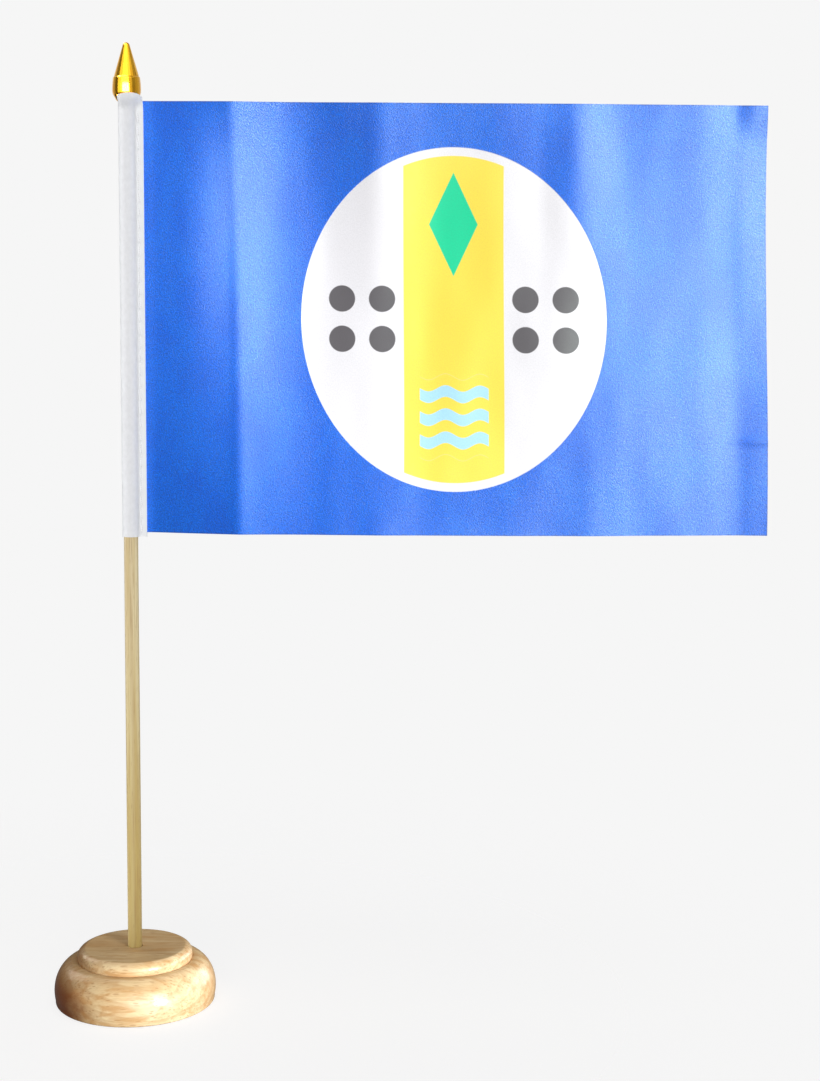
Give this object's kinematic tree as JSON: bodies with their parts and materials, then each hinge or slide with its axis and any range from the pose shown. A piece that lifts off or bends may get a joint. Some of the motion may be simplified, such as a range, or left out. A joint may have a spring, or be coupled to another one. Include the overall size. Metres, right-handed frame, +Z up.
{
  "type": "desk flag stand",
  "caption": "Small table flag: a cloth sheet sleeved on a slim dowel pole with a pointed cap, standing in a turned round wooden base.",
  "frame": {"origin": "centre of the base's flat underside, on the pole's axis", "axes": "+Z up the pole, +X from the pole along the flag to its free end, so the flag's front faces -Y"},
  "size_m": [0.2508, 0.057, 0.3377],
  "materials": {
    "base_wood": "gloss",
    "stick_wood": "satin",
    "gold_finish": "polished",
    "printed_polyester": "satin",
    "white_polyester": "satin",
    "seam_thread": "satin"
  },
  "bodies": {
    "base": {"base_block": "base_wood"},
    "pole": {"stick": "stick_wood"},
    "flag": {"flag_cloth": "printed_polyester", "hoist_sleeve": "white_polyester", "needle_thread": "seam_thread", "bobbin_thread": "seam_thread"},
    "cap": {"finial_cap": "gold_finish"}
  },
  "joints": [
    {"name": "pole_lift", "type": "slide", "parent": "base", "child": "pole", "axis": [0, 0, 1], "range_m": [0, 0.0125]},
    {"name": "flag_turn", "type": "hinge", "parent": "pole", "child": "flag", "pos_m": [0, 0, 0.24], "axis": [0, 0, 1], "continuous": true},
    {"name": "cap_pull", "type": "slide", "parent": "pole", "child": "cap", "axis": [0, 0, 1], "range_m": [0, 0.0115]}
  ]
}
